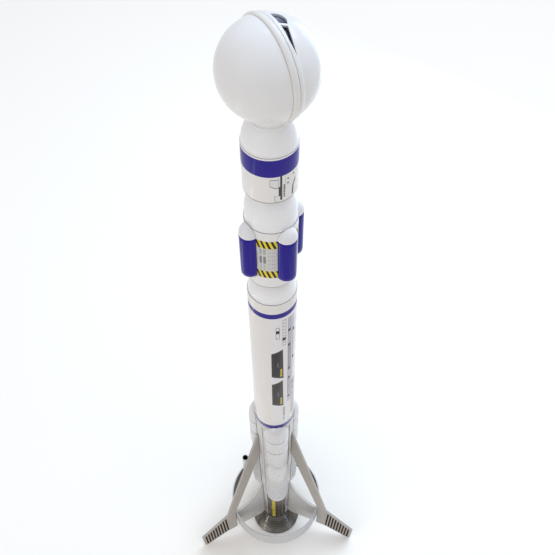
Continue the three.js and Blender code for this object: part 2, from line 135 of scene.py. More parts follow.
class Look:
    """A Principled material under construction; numbers and sockets mix freely."""

    def __init__(self, name, color, rough, metal=0.0, coat=0.0, sheen=0.0, specular=0.5):
        self.material = bpy.data.materials.new(name)
        self.material.use_nodes = True
        self.material.diffuse_color = (*color, 1)
        self.tree = self.material.node_tree
        self.tree.nodes.clear()
        self.shader = self.node("ShaderNodeBsdfPrincipled", {
            "Metallic": metal, "Coat Weight": coat, "Coat Roughness": 0.06,
            "Sheen Weight": sheen, "Specular IOR Level": specular,
        })
        self.node("ShaderNodeOutputMaterial", {0: self.shader.outputs[0]})
        self.color = color
        self.rough = rough
        self._split = None
        self._heights = []

    def node(self, kind, feeds=None, **settings):
        return add_node(self.tree, kind, feeds, **settings)

    def math(self, operation, *values):
        return self.node("ShaderNodeMath", dict(enumerate(values)), operation=operation).outputs[0]

    def times(self, *values):
        product = values[0]
        for value in values[1:]:
            product = self.math("MULTIPLY", product, value)
        return product

    def place(self):
        """Sockets of x, y and z in millimetres in the row frame at rest."""
        if self._split is None:
            place = self.node("ShaderNodeTexCoord").outputs["Object"]
            scaled = self.node("ShaderNodeVectorMath", {0: place, "Scale": 1 / MM}, operation="SCALE")
            self._point = scaled.outputs[0]
            self._split = self.node("ShaderNodeSeparateXYZ", {0: self._point}).outputs
        return self._split

    def azimuth(self, period=360.0, start=-180.0, axis=(0.0, 0.0)):
        """Degrees from -Y towards +X about an upright axis, folded into one period."""
        x, y, _ = self.place()
        turn = self.math(
            "ARCTAN2",
            self.math("SUBTRACT", x, axis[0]),
            self.math("SUBTRACT", axis[1], y),
        )
        degrees = self.math("MULTIPLY", turn, 180 / math.pi)
        if period >= 360:
            return degrees
        shifted = self.math("ADD", degrees, 720 - start)
        return self.math("ADD", self.math("MODULO", shifted, period), start)

    def noise(self, scale, detail=3.0, stretch=None):
        self.place()
        source = self._point
        if stretch:
            stretched = self.node("ShaderNodeVectorMath", {0: source, 1: stretch}, operation="MULTIPLY")
            source = stretched.outputs[0]
        feeds = {"Vector": source, "Scale": scale, "Detail": detail}
        return self.node("ShaderNodeTexNoise", feeds).outputs["Fac"]

    def ramp(self, value, low, high, out_low=0.0, out_high=1.0):
        feeds = {"Value": value, "From Min": low, "From Max": high}
        feeds.update({"To Min": out_low, "To Max": out_high})
        return self.node("ShaderNodeMapRange", feeds).outputs["Result"]

    def mix(self, share, first, second):
        feeds = {0: share, 6: first, 7: second}
        return self.node("ShaderNodeMix", feeds, data_type="RGBA").outputs[2]

    def paint(self, mask, color, strength=1.0):
        if strength < 1:
            mask = self.math("MULTIPLY", mask, strength)
        self.color = self.mix(mask, self.color, color)

    def mottle(self, scale, share, color, detail=4.0, stretch=None):
        """Uneven colour: a share of another colour that comes and goes."""
        cloud = self.ramp(self.noise(scale, detail, stretch), 0.35, 0.7, 0.0, share)
        self.color = self.mix(cloud, self.color, color)

    def uneven_gloss(self, scale, spread, stretch=None):
        cloud = self.noise(scale, 3.0, stretch)
        self.rough = self.ramp(cloud, 0.3, 0.7, self.rough - spread, self.rough + spread)

    def emboss(self, height, depth_mm):
        """Adds a relief: height 0 to 1 is this many millimetres."""
        self._heights.append(self.math("MULTIPLY", height, depth_mm * MM))

    def done(self):
        feed(self.tree, self.shader.inputs["Base Color"], self.color)
        feed(self.tree, self.shader.inputs["Roughness"], self.rough)
        if self._heights:
            total = self._heights[0]
            for height in self._heights[1:]:
                total = self.math("ADD", total, height)
            bump = self.node("ShaderNodeBump", {"Strength": 1.0, "Distance": 1.0, "Height": total})
            feed(self.tree, self.shader.inputs["Normal"], bump.outputs[0])
        return self.material


class Print:
    """Flat artwork on a wrapped surface, in degrees round and millimetres up."""

    def __init__(self, look, across, up):
        self.look, self.across, self.up = look, across, up

    def band(self, value, low, high):
        return self.look.math("COMPARE", value, (low + high) / 2, (high - low) / 2)

    def rows(self, low, high):
        return self.band(self.up, low, high)

    def columns(self, low, high):
        return self.band(self.across, low, high)

    def box(self, left, right, foot, top):
        return self.look.times(self.columns(left, right), self.rows(foot, top))

    def fill(self, color, strength, *boxes):
        """Paints boxes, each given by its left, right, foot and top."""
        for box in boxes:
            self.look.paint(self.box(*box), color, strength)

    def repeat(self, value, pitch, share, offset=0.0):
        """1 over a share of each pitch."""
        along = self.look.math("ADD", value, offset)
        phase = self.look.math("FRACT", self.look.math("DIVIDE", along, pitch))
        return self.look.math("LESS_THAN", phase, share)

    def shape(self, corners):
        """A convex outline, its corners counter-clockwise."""
        mask = None
        for (x0, y0), (x1, y1) in zip(corners, corners[1:] + corners[:1]):
            across = self.look.math("MULTIPLY", self.across, y0 - y1)
            inside = self.look.math("MULTIPLY_ADD", self.up, x1 - x0, across)
            limit = x0 * (y0 - y1) + y0 * (x1 - x0)
            side = self.look.math("GREATER_THAN", inside, limit)
            mask = side if mask is None else self.look.times(mask, side)
        return mask

    def frame(self, left, right, foot, top, line_deg, line_mm):
        outer = self.box(left, right, foot, top)
        inner = self.box(left + line_deg, right - line_deg, foot + line_mm, top - line_mm)
        return self.look.math("SUBTRACT", outer, inner)

    def ladder(self, left, right, foot, top, pitch, line_deg=0.9, line_mm=0.6):
        sides = self.look.math(
            "MAXIMUM", self.columns(left, left + line_deg), self.columns(right - line_deg, right)
        )
        rungs = self.look.times(
            self.columns(left, right), self.repeat(self.up, pitch, line_mm / pitch, -foot)
        )
        return self.look.times(self.look.math("MAXIMUM", sides, rungs), self.rows(foot, top))


INK_BLACK = (0.016, 0.014, 0.015)
INK_BLUE = (0.020, 0.012, 0.24)
INK_YELLOW = (0.78, 0.62, 0.03)
INK_GREY = (0.10, 0.10, 0.11)
# painted shade: a dark band along a printed tube's foot, standing in for the shadow at its lower edge
RIM_PAINTED_SHADE = (0.16, 0.15, 0.14)


def gloss_plastic(name, color, rough, tint=(0.74, 0.72, 0.70)):
    look = Look(name, color, rough, specular=0.3)
    look.mottle(0.05, 0.18, tint)
    look.uneven_gloss(0.4, 0.03)
    look.emboss(look.noise(1.6, 2.0), 0.012)
    look.emboss(look.noise(0.09, 1.0), 0.10)
    return look.done()


def surface(name, color, rough, mottle, grain, depth, gloss=None, spiral=None, **kinds):
    """Uneven colour, a grain in relief to a depth in millimetres, and perhaps uneven gloss."""
    look = Look(name, color, rough, **kinds)
    look.mottle(*mottle)
    if gloss:
        look.uneven_gloss(*gloss)
    if depth:
        look.emboss(look.noise(*grain), depth)
    if spiral:
        spiral_seam(look, spiral, depth=0.08)
    return look.done()


def paper_wrap(name, color, rough=0.17, specular=0.2):
    look = Look(name, color, rough, specular=specular)
    look.mottle(0.06, 0.20, tuple(c * 0.90 for c in color))
    look.uneven_gloss(0.25, 0.04, (1, 1, 0.3))
    look.emboss(look.noise(2.4, 3.0), 0.010)
    return look


def spiral_seam(look, pitch, depth=0.03):
    """The faint helical joint that a wound tube shows through its wrap."""
    _, _, up = look.place()
    climb = look.math("MULTIPLY_ADD", look.azimuth(), pitch / 360, up)
    phase = look.math("FRACT", look.math("DIVIDE", climb, pitch))
    groove = look.ramp(look.math("ABSOLUTE", look.math("SUBTRACT", phase, 0.5)), 0.0, 0.012, 0.0, 1.0)
    look.emboss(groove, depth)


def body_wrap():
    look = paper_wrap("body_wrap", (0.76, 0.73, 0.69))
    spiral_seam(look, 84)
    art = Print(look, look.azimuth(180, -90), look.place()[2])
    art.fill((0.755, 0.73, 0.735), 0.85, (-9, 70, TUBE_FOOT, 527))
    art.fill((0.50, 0.49, 0.56), 0.85, (36, 50, 372, 524))
    art.fill((0.34, 0.25, 0.21), 0.75, (50, 68, 338, 412))
    art.fill((0.42, 0.40, 0.44), 0.7, (51, 57, 412, 524))
    art.fill((0.14, 0.09, 0.08), 0.8, (52, 65, 392, 395), (52, 65, 403, 406.5))
    for low, high in ((TUBE_FOOT + 0.6, 326.5), (529.2, 536)):
        look.paint(art.rows(low, high), INK_BLUE)
    look.paint(art.frame(5, 14, 497, 515, 0.9, 0.6), INK_BLACK)
    art.fill(INK_BLACK, 1, (5, 14, 505.6, 510.2))
    look.paint(art.ladder(22, 31, 484, 525, 5), INK_BLACK, 0.85)
    art.fill(INK_BLACK, 1, (21, 30, 492.3, 496.7))
    for height in (504, 480, 438, 420, 383):
        art.fill(INK_BLACK, 1, (37.5, 45.5, height - 2, height + 2))
    look.paint(art.ladder(37, 48, 386, 524, 4), INK_GREY, 0.75)
    look.paint(art.ladder(39, 46, 440, 478, 4, 1.2, 0.8), INK_BLACK, 0.8)
    look.paint(art.columns(42.7, 43.4), INK_GREY, 0.35)
    look.paint(art.ladder(38, 44, 390, 416, 5), INK_BLACK, 0.7)
    for height in (500, 453):
        art.fill(INK_BLACK, 1, (53, 60, height - 2.4, height + 2.4))
    look.paint(art.ladder(53, 61, 460, 520, 6), INK_GREY, 0.6)
    for foot in (0, -HATCH_PITCH):
        corners = [(-7, 430.5 + foot), (24.5, 425.5 + foot), (22.5, 478 + foot), (-7, 472.5 + foot)]
        look.paint(art.shape(corners), (0.050, 0.036, 0.030))
        inner = [(-5, 433 + foot), (13.5, 430.2 + foot), (13.5, 474 + foot), (-5, 470.4 + foot)]
        look.paint(art.shape(inner), (0.022, 0.018, 0.019))
        art.fill((0.30, 0.28, 0.27), 1, (8.6, 10, 448 + foot, 456 + foot))
        art.fill((0.075, 0.058, 0.05), 1, (-3, -1.8, 437 + foot, 468 + foot))
        dashes = art.repeat(art.up, 3.6, 0.66, -430 - foot)
        look.paint(look.times(art.box(15.5, 20.5, 430 + foot, 443.8 + foot), dashes), INK_YELLOW)
    art.fill(INK_GREY, 0.55, (23, 29, 345, 365))
    look.paint(look.times(art.box(23, 29, 336, 343), art.repeat(art.up, 2, 0.5)), INK_GREY, 0.8)
    return look.done()


def payload_wrap():
    look = paper_wrap("payload_wrap", (0.78, 0.755, 0.725))
    spiral_seam(look, 60)
    art = Print(look, look.azimuth(180, -90), look.place()[2])
    look.paint(art.rows(694.5, 709.6), INK_BLUE)
    # painted shade: a dark band along the tube's foot, where shadow falls under its edge
    look.paint(art.rows(PAYLOAD_FOOT - 0.1, PAYLOAD_FOOT + 0.75), RIM_PAINTED_SHADE, 0.9)
    art.fill((0.065, 0.065, 0.07), 1, (17.5, 22, 672, 694.6), (14.5, 22, 676, 685))
    look.paint(look.times(art.box(24.5, 28, 674, 686), art.repeat(art.up, 1.7, 0.72)), INK_BLACK)
    plate = [(-3, 686), (8, 683.6), (15, 683.6), (15, 692.2), (-3, 692.2)]
    look.paint(art.shape(plate), (0.16, 0.16, 0.17))
    inset = [(-2.2, 686.6), (8, 684.3), (14.2, 684.3), (14.2, 691.6), (-2.2, 691.6)]
    look.paint(art.shape(inset), (0.72, 0.71, 0.70))
    for across, height in ((35, 690), (35, 686), (50, 691.4)):
        art.fill(INK_BLACK, 1, (across - 1.4, across + 1.4, height - 0.8, height + 0.8))
    look.paint(art.shape([(44.5, 672.6), (49, 672.6), (50.5, 681), (47, 681)]), INK_BLACK)
    look.paint(art.shape([(47, 681), (50.5, 681), (57, 685), (55.5, 687)]), INK_BLACK)
    art.fill(INK_GREY, 0.7, (5.6, 6.4, 670.5, 677.5), (28.5, 29.2, 680, 692))
    look.paint(art.frame(7.4, 13.4, 671, 677, 0.6, 0.4), INK_GREY, 0.6)
    return look.done()


def core_wrap():
    look = paper_wrap("core_wrap", (0.78, 0.76, 0.74))
    art = Print(look, look.azimuth(90, -60), look.place()[2])
    # painted shade: a dark band along the tube's foot, where shadow falls under its edge
    look.paint(art.rows(CORE_FOOT - 0.1, CORE_FOOT + 0.75), RIM_PAINTED_SHADE, 0.8)
    panel = art.rows(594.5, 621.5)
    look.paint(panel, (0.60, 0.59, 0.56))
    grid = look.math("MAXIMUM", art.repeat(art.across, 4.4, 0.16), art.repeat(art.up, 4.5, 0.13))
    look.paint(look.times(grid, panel, art.columns(-11.5, 8)), (0.30, 0.29, 0.28), 0.6)
    for left, right in ((-28, -22.5), (-19.5, -14)):
        art.fill((0.16, 0.155, 0.15), 0.85, (left, right, 603.5, 612))
        art.fill((0.30, 0.29, 0.28), 0.7, (left, right, 614, 620.5))
        for step in range(4):
            foot = 596 + step * 1.8
            art.fill((0.22, 0.21, 0.20), 0.7, (left, right, foot, foot + 0.7))
    art.fill((0.40, 0.39, 0.37), 0.7, (-34.5, -31.5, 600, 616))
    for low, high in ((586.0, 594.5), (621.5, 629.7)):
        strip = art.rows(low, high)
        slant = look.math("MULTIPLY_ADD", art.up, 0.95, art.across)
        look.paint(strip, INK_YELLOW)
        look.paint(look.times(strip, art.repeat(slant, 11.25, 0.5, 2.0)), INK_BLACK)
    return look.done()


def pod_wrap():
    look = paper_wrap("strap_pod_gloss", (0.76, 0.755, 0.75), 0.11, 0.08)
    wrap = Print(look, look.azimuth(), look.place()[2]).rows(WRAP_FOOT, WRAP_TOP)
    look.paint(wrap, INK_BLUE)
    cloud = look.ramp(look.noise(0.4, 2.0, (1, 1, 0.05)), 0.55, 0.75)
    look.paint(look.times(wrap, cloud), (0.045, 0.032, 0.26), 0.5)
    return look.done()


def tail_wrap():
    look = paper_wrap("tail_wrap", (0.60, 0.585, 0.57), 0.21)
    art = Print(look, look.azimuth(120, -57), look.place()[2])
    # thin upright lines all round: partly printed panel lines, partly painted shade for the tail's
    # upright shading
    look.paint(art.repeat(art.across, 9.0, 0.07, 3), (0.36, 0.35, 0.34), 0.5)
    art.fill((0.05, 0.04, 0.035), 0.8, (-54, -47, 44, 78), (49, 55, 50, 80))
    # painted shadow: dark upright lines on the tail along the base pods' edges, where shade falls in the
    # gaps
    art.fill((0.015, 0.013, 0.012), 1, (46.3, 50.0, 120, 312))
    art.fill((0.22, 0.20, 0.19), 0.8, (-44.5, -41, 120, 312))
    art.fill((0.36, 0.34, 0.32), 0.6, (-56, -53.5, 120, 300))
    panel = art.box(-41, 43, TAIL_FOOT, PANEL_TOP)
    look.paint(panel, (0.085, 0.066, 0.052))
    look.paint(look.times(panel, art.repeat(art.across, 8.2, 0.36, 1.5)), (0.020, 0.016, 0.014))
    look.paint(look.times(panel, art.repeat(art.across, 16.4, 0.10, 7.0)), (0.24, 0.20, 0.16))
    art.fill((0.12, 0.085, 0.06), 0.45, (15, 33, TAIL_FOOT, PANEL_TOP))
    stripe = (-18.5, -5.5, 30.5, 97)
    look.paint(look.times(art.box(*stripe), art.repeat(art.up, 12.2, 0.90, -31.5)), INK_YELLOW)
    look.paint(look.times(art.box(*stripe), art.repeat(art.up, 2.4, 0.14)), (0.30, 0.25, 0.03), 0.5)
    return look.done()


def painted_board(name, color, tint):
    look = Look(name, color, 0.36, metal=0.10, specular=0.2)
    look.mottle(0.05, 0.25, tint, 4.0, (1, 1, 0.25))
    look.uneven_gloss(0.2, 0.05)
    look.emboss(look.noise(0.9, 4.0, (1, 1, 0.12)), 0.035)
    x, y, up = look.place()
    out = look.math("SQRT", look.math("MULTIPLY_ADD", x, x, look.math("MULTIPLY", y, y)))
    art = Print(look, out, up)
    for at in (60.4, 62.8, 66.2):
        art.fill((0.40, 0.385, 0.37), 0.55, (at, at + 0.55, 17, 96))
    return look.done()


def ring_paint():
    look = Look("painted_ring", (0.52, 0.51, 0.50), 0.32, metal=0.12, specular=0.2)
    lines = look.noise(2.2, 2.0, (1, 1, 0.01))
    look.color = look.mix(look.ramp(lines, 0.3, 0.7), (0.45, 0.43, 0.41), (0.54, 0.535, 0.53))
    look.emboss(lines, 0.01)
    return look.done()


def dark_window():
    """Near black, with a painted pale blue reflection that fades along the ball from the window's far
    end.
    """
    look = Look("dark_window", (0.009, 0.011, 0.020), 0.08, specular=0.4)
    x, y, up = look.place()
    tilt = math.radians(WINDOW_TILT)
    slope = outward(SEAM_AZIMUTH - 90) * math.cos(tilt)
    run = look.math("MULTIPLY_ADD", x, slope.x, look.math("MULTIPLY", y, slope.y))
    drop = look.math("MULTIPLY", look.math("SUBTRACT", up, BALL_Z), math.sin(tilt))
    run = look.math("SUBTRACT", run, drop)
    # painted reflection: pale blue towards the window's far end
    look.color = look.mix(look.ramp(run, -15.5, -4.4, 1.0, 0.0), look.color, (0.36, 0.40, 0.56))
    look.mottle(0.08, 0.4, (0.02, 0.03, 0.06), 1.5)
    look.uneven_gloss(0.5, 0.03)
    look.emboss(look.noise(0.12, 1.0), 0.05)
    return look.done()


def plywood():
    look = Look("plywood", (0.60, 0.43, 0.25), 0.6)
    look.mottle(0.9, 0.6, (0.42, 0.27, 0.14), 6.0, (0.15, 1, 1))
    art = Print(look, look.azimuth(), look.place()[2])
    look.paint(art.repeat(art.up, 1.0, 0.33), (0.34, 0.20, 0.10), 0.7)
    look.emboss(look.noise(2.0, 6.0, (0.2, 1, 1)), 0.06)
    return look.done()


def ripstop():
    look = Look("ripstop", (0.62, 0.13, 0.03), 0.5, sheen=0.4)
    art = Print(look, look.azimuth(), look.place()[2])
    weave = look.math("MAXIMUM", art.repeat(art.across, 20, 0.08), art.repeat(art.up, 4.5, 0.1))
    look.paint(weave, (0.70, 0.22, 0.08), 0.5)
    look.mottle(0.3, 0.4, (0.50, 0.08, 0.02))
    look.emboss(look.noise(5.0, 4.0), 0.03)
    return look.done()


def metal(name, color, rough, stretch):
    mottle = (0.4, 0.35, tuple(c * 0.7 for c in color))
    grain = (3.0, 3.0, stretch)
    return surface(name, color, rough, mottle, grain, 0.01, (1.5, 0.08, stretch), metal=1.0)


MATERIALS = {
    "ball": gloss_plastic("ball_white", (0.745, 0.735, 0.72), 0.2),
    "dome": gloss_plastic("dome_white", (0.82, 0.815, 0.81), 0.13),
    "seam": gloss_plastic("seam_cream", (0.74, 0.72, 0.69), 0.2, (0.60, 0.57, 0.52)),
    "window": dark_window(),
    "body": body_wrap(),
    "payload": payload_wrap(),
    "core": core_wrap(),
    "pod": pod_wrap(),
    "tail": tail_wrap(),
    "base_pod": surface(
        "base_pod_satin", (0.68, 0.665, 0.66), 0.30, (0.05, 0.25, (0.61, 0.595, 0.59)),
        (0.35, 1.0), 0.004, (0.3, 0.03), metal=0.30, specular=0.3,
    ),
    "leg": painted_board("leg_paint", (0.40, 0.365, 0.32), (0.34, 0.305, 0.26)),
    "fin": painted_board("fin_paint", (0.58, 0.56, 0.525), (0.48, 0.455, 0.42)),
    "slat": surface(
        "slat_paint", (0.040, 0.027, 0.019), 0.6, (0.5, 0.5, (0.065, 0.048, 0.034)),
        (2.0, 3.0), 0.02, specular=0.0,
    ),
    "ring": ring_paint(),
    # painted shade: the tail ring's inner face is dark brown, standing in for the shade inside the ring
    "inner_shade": surface(
        "ring_inside_painted_shade", (0.085, 0.062, 0.046), 0.42, (0.2, 0.5, (0.13, 0.10, 0.08), 3.0, (1, 1, 0.05)),
        (2.5, 2.0, (1, 1, 0.02)), 0.03, specular=0.25,
    ),
    "bell": surface(
        "gunmetal", (0.17, 0.158, 0.14), 0.14, (0.3, 0.6, (0.10, 0.085, 0.07)),
        (1.5, 3.0), 0.02, (1.2, 0.06), metal=1.0,
    ),
    "kraft": surface(
        "kraft_card", (0.42, 0.27, 0.15), 0.72, (0.5, 0.5, (0.33, 0.20, 0.11), 6.0, (1, 1, 3)),
        (3.0, 5.0), 0.05, spiral=38,
    ),
    "ply": plywood(),
    "paper": surface(
        "plain_paper", (0.72, 0.69, 0.62), 0.78, (0.8, 0.4, (0.62, 0.57, 0.47), 6.0), (4.0, 6.0), 0.05,
    ),
    "edge": surface(
        "card_edge", (0.33, 0.30, 0.27), 0.8, (1.5, 0.6, (0.44, 0.40, 0.36), 6.0),
        (5.0, 4.0), 0.03, specular=0.1,
    ),
    "lug": surface(
        "lug_paper", (0.66, 0.655, 0.65), 0.45, (0.6, 0.3, (0.52, 0.50, 0.48)),
        (3.0, 4.0), 0.03, coat=0.1,
    ),
    "bore": surface(
        "dark_bore", (0.018, 0.017, 0.017), 0.6, (0.8, 0.5, (0.035, 0.032, 0.03)), None, 0,
    ),
    "nylon": ripstop(),
    "steel": metal("spring_steel", (0.55, 0.56, 0.58), 0.28, (1, 1, 0.1)),
    "brass": metal("brass_wire", (0.72, 0.52, 0.22), 0.25, None),
}


# ------------------------------------------------------------------ mesh building
def object_of(name, points, faces, sharp=32.0):
    """A mesh object from points in millimetres, smooth but for its sharp edges."""
    mesh = bpy.data.meshes.new(name)
    mesh.from_pydata([Vector(p) * MM for p in points], [], faces)
    shape = bmesh.new()
    shape.from_mesh(mesh)
    bmesh.ops.recalc_face_normals(shape, faces=shape.faces)
    shape.to_mesh(mesh)
    shape.free()
    piece = bpy.data.objects.new(name, mesh)
    bpy.context.scene.collection.objects.link(piece)
    shade(piece, sharp)
    return piece


def shade(piece, sharp=32.0):
    mesh = piece.data
    mesh.polygons.foreach_set("use_smooth", [True] * len(mesh.polygons))
    mesh.set_sharp_from_angle(angle=math.radians(sharp))


def rounded(corners, fillet, steps=3, closed=True):
    """An outline with its corners rounded; a third number on a corner is its own radius."""
    points = []
    count = len(corners)
    for i, corner in enumerate(corners):
        at = Vector(corner[:2])
        own = corner[2] if len(corner) > 2 else fillet
        if not closed and i in (0, count - 1) or own <= 0:
            points.append(tuple(at))
            continue
        back = Vector(corners[i - 1][:2]) - at
        ahead = Vector(corners[(i + 1) % count][:2]) - at
        angle = back.angle(ahead, math.pi)
        if angle > math.radians(168) or back.length < 1e-6 or ahead.length < 1e-6:
            points.append(tuple(at))
            continue
        reach_back = min(own / math.tan(angle / 2), 0.45 * min(back.length, ahead.length))
        start = at + back.normalized() * reach_back
        end = at + ahead.normalized() * reach_back
        for k in range(steps + 1):
            t = k / steps
            points.append(tuple(start * (1 - t) ** 2 + at * (2 * t * (1 - t)) + end * t ** 2))
    return points


def lathe(name, profile, steps=160, matrix=None, sharp=32.0):
    """Turns (radius, height) points about +Z; a profile that doesn't end on the axis is closed."""
    points, rings = [], []
    for radius, height in profile:
        if radius < 1e-6:
            rings.append([len(points)] * steps)
            points.append((0, 0, height))
            continue
        rings.append(list(range(len(points), len(points) + steps)))
        for i in range(steps):
            turn = 2 * math.pi * i / steps
            points.append((radius * math.sin(turn), -radius * math.cos(turn), height))
    if profile[0][0] > 1e-6 and profile[-1][0] > 1e-6:
        rings.append(rings[0])
    if matrix:
        points = [matrix @ Vector(p) for p in points]
    return object_of(name, points, stitch(rings, steps), sharp)


def stitch(rings, steps):
    """Quads between rings of point numbers; a ring of one repeated number is a tip."""
    faces = []
    for low, high in zip(rings, rings[1:]):
        for i in range(steps):
            j = (i + 1) % steps
            face = [low[i], low[j], high[j], high[i]]
            face = [v for k, v in enumerate(face) if v != face[k - 1]]
            if len(face) > 2:
                faces.append(face)
    return faces


def saddled(name, profile, azimuth, distance, seat, steps, wave=None, sharp=32.0):
    """Turns a profile about an upright axis beside the tube; its back follows the seat radius.

    seat(height) is the radius it sits on, and wave(radius, height, step) can vary its own.
    """
    levels = []
    for radius, height in profile:
        hold = seat(height)
        if radius < 1e-6 and distance > hold:
            levels.append([(distance, 0, height)])
        if radius < 1e-6 or distance + radius < hold + 0.25:
            continue
        cosine = (hold ** 2 - distance ** 2 - radius ** 2) / (2 * distance * radius)
        edge = math.acos(max(-1.0, min(1.0, cosine)))
        last = int(edge / (2 * math.pi / steps))
        ring = []
        for i in range(steps):
            side = 1 if i <= steps // 2 else -1
            near = min(i, steps - i)
            turn = 2 * math.pi * near / steps
            if near < last or edge > math.pi - 1e-6:
                wide = wave(radius, height, i) if wave else radius
                ring.append((distance + wide * math.cos(turn), side * wide * math.sin(turn), height))
            else:
                share = 1.0 if near == last else (math.pi - turn) / (math.pi - edge)
                across = radius * math.sin(edge) * share
                ring.append((math.sqrt(hold ** 2 - across ** 2), side * across, height))
        levels.append(ring)
    for end in (0, -1):
        if len(levels[end]) > 1:
            height = levels[end][0][2]
            tip = [((seat(height) + levels[end][0][0]) / 2, 0, height)]
            levels = [tip] + levels if end == 0 else levels + [tip]
    points, rings = [], []
    for level in levels:
        first = len(points)
        points += level
        rings.append([first] * steps if len(level) == 1 else list(range(first, first + steps)))
    place = basis(outward(azimuth), outward(azimuth + 90), (0, 0, 1))
    return object_of(name, [place @ Vector(p) for p in points], stitch(rings, steps), sharp)


def basis(first, second, third, at=(0, 0, 0)):
    matrix = Matrix((first, second, third)).transposed().to_4x4()
    matrix.translation = Vector(at)
    return matrix


def slab(name, outline, thickness, matrix, bevel=0.35, segments=2):
    """An outline extruded evenly to both sides of its plane, with its rims bevelled."""
    shape = bmesh.new()
    low = [shape.verts.new((x, y, -thickness / 2)) for x, y in outline]
    high = [shape.verts.new((x, y, thickness / 2)) for x, y in outline]
    count = len(outline)
    shape.faces.new(low)
    shape.faces.new(high)
    for i in range(count):
        j = (i + 1) % count
        shape.faces.new((low[i], low[j], high[j], high[i]))
    bmesh.ops.recalc_face_normals(shape, faces=shape.faces)
    if bevel:
        rims = [e for e in shape.edges if e.calc_face_angle(0) > math.radians(50)]
        bmesh.ops.bevel(
            shape, geom=rims, offset=bevel, segments=segments, affect="EDGES", profile=0.6
        )
    heights = [y for _, y in outline]
    for k in range(1, int((max(heights) - min(heights)) / STRIP)):
        everything = shape.verts[:] + shape.edges[:] + shape.faces[:]
        cut = (0, min(heights) + STRIP * (k + 0.013), 0)
        bmesh.ops.bisect_plane(shape, geom=everything, plane_co=cut, plane_no=(0, 1, 0))
    for face in shape.faces:
        face.smooth = not all(abs(abs(v.co.z) - thickness / 2) < 1e-4 for v in face.verts)
    mesh = bpy.data.meshes.new(name)
    bmesh.ops.transform(shape, matrix=Matrix.Scale(MM, 4) @ matrix, verts=shape.verts)
    bmesh.ops.recalc_face_normals(shape, faces=shape.faces)
    shape.to_mesh(mesh)
    shape.free()
    piece = bpy.data.objects.new(name, mesh)
    bpy.context.scene.collection.objects.link(piece)
    mesh.set_sharp_from_angle(angle=math.radians(50))
    if bevel:
        even = piece.modifiers.new("even", "WEIGHTED_NORMAL")
        even.keep_sharp = True
    return piece


def carve(piece, *cutters, operation="DIFFERENCE", sharp=32.0):
    for cutter in cutters:
        cut = piece.modifiers.new("cut", "BOOLEAN")
        cut.object = cutter
        cut.operation = operation
        cut.solver = "EXACT"
        bpy.context.view_layer.update()
        graph = bpy.context.evaluated_depsgraph_get()
        mesh = bpy.data.meshes.new_from_object(piece.evaluated_get(graph))
        piece.modifiers.remove(cut)
        piece.data = mesh
    for cutter in cutters:
        bpy.data.objects.remove(cutter)
    shade(piece, sharp)
    return piece


def settle(piece, body, slot, look, *nodes):
    """Gives a piece its body, its material and the CAD nodes it stands for; its slot argument is not
    used.
    """
    looks = look if isinstance(look, (list, tuple)) else [look]
    piece.data.materials.clear()
    for one in looks:
        piece.data.materials.append(MATERIALS[one])
    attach(piece, body)
    if nodes:
        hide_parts(*nodes)
    return piece


def paint_faces(piece, test):
    """Gives the second material to faces whose middles, in millimetres, pass the test."""
    for polygon in piece.data.polygons:
        if test(polygon.center / MM):
            polygon.material_index = 1


def radial(point):
    return math.hypot(point.x, point.y)


# ------------------------------------------------------------------ shared curves
def dome_curve(radius, foot, rise=DOME_RISE, steps=26):
    """Quarter ellipse from its widest point up to the neck."""
    end = math.acos(NECK_R / radius)
    return [
        (radius * math.cos(end * i / steps), foot + rise * math.sin(end * i / steps))
        for i in range(steps + 1)
    ]


def dome_from_neck(radius, foot, rise=DOME_RISE):
    """The same curve from the neck down, starting on the neck itself."""
    dome = dome_curve(radius, foot, rise)[::-1]
    dome[0] = (NECK_R, dome[0][1])
    return dome


def dome_top(radius, foot):
    return foot + DOME_RISE * math.sin(math.acos(NECK_R / radius))


def tail_radius(height):
    return TAIL_R + (TUBE_R - TAIL_R) * (height - TAIL_FOOT) / (TUBE_FOOT - TAIL_FOOT)


def ball_arc(radius, start, steps=44):
    first = math.asin(start / radius)
    return [
        (
            0.0 if i == steps else radius * math.cos(first + (math.pi / 2 - first) * i / steps),
            radius * math.sin(first + (math.pi / 2 - first) * i / steps),
        )
        for i in range(steps + 1)
    ]


def curve_through(corners, steps=6):
    """Quadratic pieces: each corner with four numbers bends towards its last two."""
    points = []
    at = corners[0][:2]
    for corner in corners[1:]:
        to = corner[:2]
        if len(corner) == 4:
            for k in range(1, steps + 1):
                t = k / steps
                points.append(tuple(
                    (1 - t) ** 2 * a + 2 * t * (1 - t) * b + t * t * c
                    for a, b, c in zip(at, corner[2:], to)
                ))
        else:
            points.append(to)
        at = to
    return points


# ------------------------------------------------------------------ ball nose
def seam_matrix():
    axis = outward(SEAM_AZIMUTH)
    up = Vector((0, 0, 1))
    return basis(up, axis.cross(up), axis, (0, 0, BALL_Z))


def on_ball_matrix():
    """Along the seam, away from it, and straight out of the ball near its top."""
    axis = outward(SEAM_AZIMUTH)
    forward = outward(SEAM_AZIMUTH - 90)
    turn = math.radians(WINDOW_TILT)
    up = Vector((0, 0, 1))
    out = forward * math.sin(turn) + up * math.cos(turn)
    along = forward * math.cos(turn) - up * math.sin(turn)
    return basis(along, axis, out, (0, 0, BALL_Z))


WINDOW = [(-15.4, 5.2), (-5.4, 4.9), (-3.6, 9.5), (-9.0, 11.6, -6.0, 11.6), (-15.4, 5.2, -14.6, 10.8)]
SLOT = [(-3.8, 4.9), (7.3, 4.3), (15.8, 5.2), (6.2, 6.9), (-2.0, 8.9)]
BACKING = [(-17.5, 3.0), (17.5, 3.0), (17.5, 7.2), (5, 10.0), (-4, 13.5), (-17.5, 13.5)]


def ball_cutter(name, outline, foot=20, top=40):
    matrix = on_ball_matrix() @ Matrix.Translation((0, 0, (foot + top) / 2))
    return slab(name, outline, top - foot, matrix, bevel=0)


